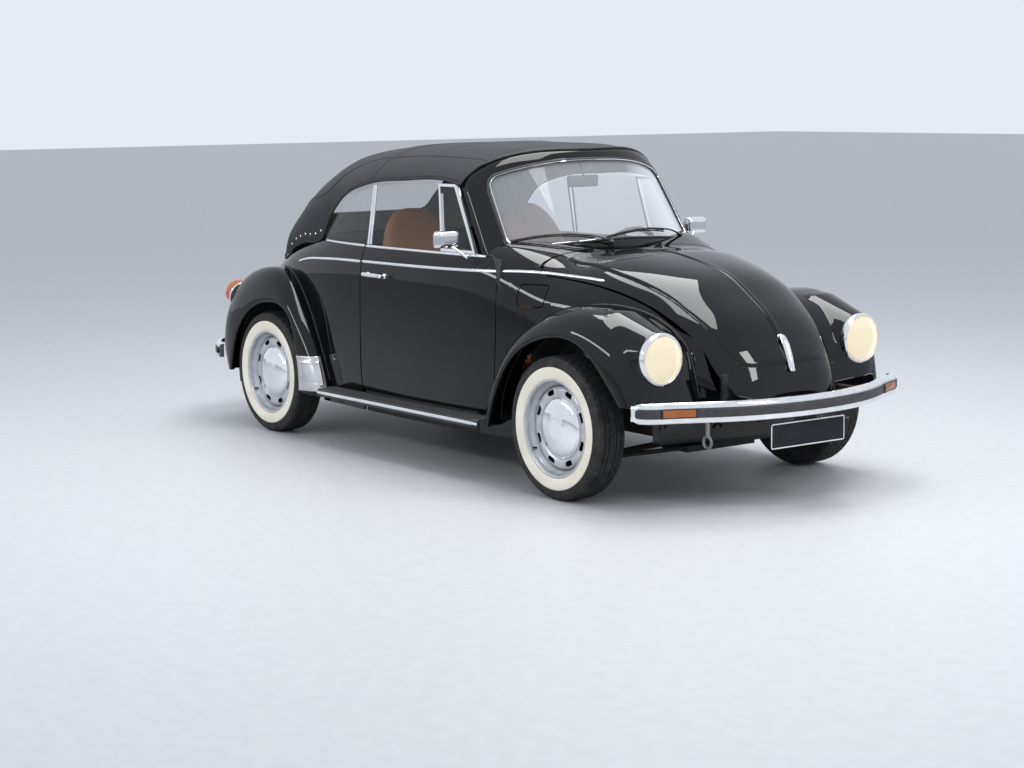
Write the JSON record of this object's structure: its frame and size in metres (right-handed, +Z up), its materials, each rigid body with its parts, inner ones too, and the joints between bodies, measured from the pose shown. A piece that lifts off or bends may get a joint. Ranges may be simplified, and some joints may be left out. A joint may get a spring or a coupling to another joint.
{
  "type": "classic compact convertible car",
  "caption": "Rounded rear-engined classic convertible with its fabric top up, separate fenders, round headlights, opening doors, bonnet and engine lid, and steered front wheels.",
  "frame": {"origin": "on the ground under the centre of the overall box, midway between the bumpers and the two sides", "axes": "+X forwards to the front bumper, +Y to the left side of the car, +Z up"},
  "size_m": [4.12, 1.668, 1.4982],
  "materials": {
    "paint": "gloss",
    "hood_cloth": "matte",
    "glass": "clear",
    "chrome": "polished",
    "rubber": "ribbed",
    "tyre": "matte",
    "wheel_steel": "silver",
    "bright_metal": "brushed",
    "lamp_red": "gloss",
    "plate": "satin",
    "black_plastic": "satin",
    "seat_leather": "satin",
    "rear_trim": "satin",
    "underbody": "matte",
    "cast_metal": "matte"
  },
  "bodies": {
    "body": {"dashboard": "black_plastic", "engine": "cast_metal", "exhaust": "cast_metal", "floor_pan": "underbody", "front_body": "paint", "front_bumper": "chrome", "front_fenders": "paint", "front_plate": "plate", "front_seats": "seat_leather", "front_suspension": "underbody", "headlights": "chrome", "rear_axle": "underbody", "rear_body": "paint", "rear_bumper": "chrome", "rear_fenders": "paint", "rear_seat": "rear_trim", "rear_windows": "glass", "running_boards": "rubber", "soft_top": "hood_cloth", "steering_column": "black_plastic", "stone_guards": "bright_metal", "tail_lights": "lamp_red", "windscreen_frame": "paint", "windscreen_glass": "glass", "wipers": "black_plastic"},
    "door_left": {"door_left": "paint", "door_window_left": "glass", "vent_window_frame_left": "chrome", "mirror_left": "chrome"},
    "door_right": {"door_right": "paint", "door_window_right": "glass", "vent_window_frame_right": "chrome", "mirror_right": "chrome"},
    "bonnet": {"bonnet": "paint"},
    "engine_lid": {"engine_lid": "paint", "rear_plate": "plate"},
    "fuel_flap": {"fuel_flap": "paint"},
    "knuckle_left": {"knuckle_left": "underbody"},
    "knuckle_right": {"knuckle_right": "underbody"},
    "steering_wheel": {"steering_wheel": "black_plastic"},
    "front_wheel_left": {"front_wheel_left": "wheel_steel", "front_tyre_left": "tyre"},
    "front_wheel_right": {"front_wheel_right": "wheel_steel", "front_tyre_right": "tyre"},
    "rear_wheel_left": {"rear_wheel_left": "wheel_steel", "rear_tyre_left": "tyre"},
    "rear_wheel_right": {"rear_wheel_right": "wheel_steel", "rear_tyre_right": "tyre"}
  },
  "joints": [
    {"name": "door_left_hinge", "type": "hinge", "parent": "body", "child": "door_left", "pos_m": [0.726, 0.696, 0.65], "axis": [0, 0, -1], "range_deg": [0, 65]},
    {"name": "door_right_hinge", "type": "hinge", "parent": "body", "child": "door_right", "pos_m": [0.726, -0.696, 0.65], "axis": [0, 0, 1], "range_deg": [0, 65]},
    {"name": "bonnet_hinge", "type": "hinge", "parent": "body", "child": "bonnet", "pos_m": [0.84, 0, 1.024], "axis": [0, -1, 0], "range_deg": [0, 60]},
    {"name": "engine_lid_hinge", "type": "hinge", "parent": "body", "child": "engine_lid", "pos_m": [-1.53, 0, 0.912], "axis": [0, 1, 0], "range_deg": [0, 60]},
    {"name": "fuel_flap_hinge", "type": "hinge", "parent": "body", "child": "fuel_flap", "pos_m": [0.982, -0.612, 0.843], "axis": [0, 0, 1], "range_deg": [0, 90]},
    {"name": "steer_left", "type": "hinge", "parent": "body", "child": "knuckle_left", "pos_m": [1.26, 0.622, 0.178], "axis": [0, -0.1716, 0.9852], "range_deg": [-30, 30]},
    {"name": "steer_right", "type": "hinge", "parent": "body", "child": "knuckle_right", "pos_m": [1.26, -0.622, 0.178], "axis": [0, 0.1716, 0.9852], "range_deg": [-30, 30]},
    {"name": "steering_wheel_turn", "type": "hinge", "parent": "body", "child": "steering_wheel", "pos_m": [0.4, 0.345, 0.9], "axis": [-0.9063, 0, 0.4226], "range_deg": [-450, 450]},
    {"name": "front_wheel_left_spin", "type": "hinge", "parent": "knuckle_left", "child": "front_wheel_left", "pos_m": [1.26, 0.698, 0.31], "axis": [0, 1, 0], "continuous": true},
    {"name": "front_wheel_right_spin", "type": "hinge", "parent": "knuckle_right", "child": "front_wheel_right", "pos_m": [1.26, -0.698, 0.31], "axis": [0, 1, 0], "continuous": true},
    {"name": "rear_wheel_left_spin", "type": "hinge", "parent": "body", "child": "rear_wheel_left", "pos_m": [-1.16, 0.675, 0.31], "axis": [0, 1, 0], "continuous": true},
    {"name": "rear_wheel_right_spin", "type": "hinge", "parent": "body", "child": "rear_wheel_right", "pos_m": [-1.16, -0.675, 0.31], "axis": [0, 1, 0], "continuous": true}
  ],
  "couplings": [
    {"joint": "steer_right", "follows": "steer_left", "ratio": 1},
    {"joint": "steering_wheel_turn", "follows": "steer_left", "ratio": 15}
  ]
}
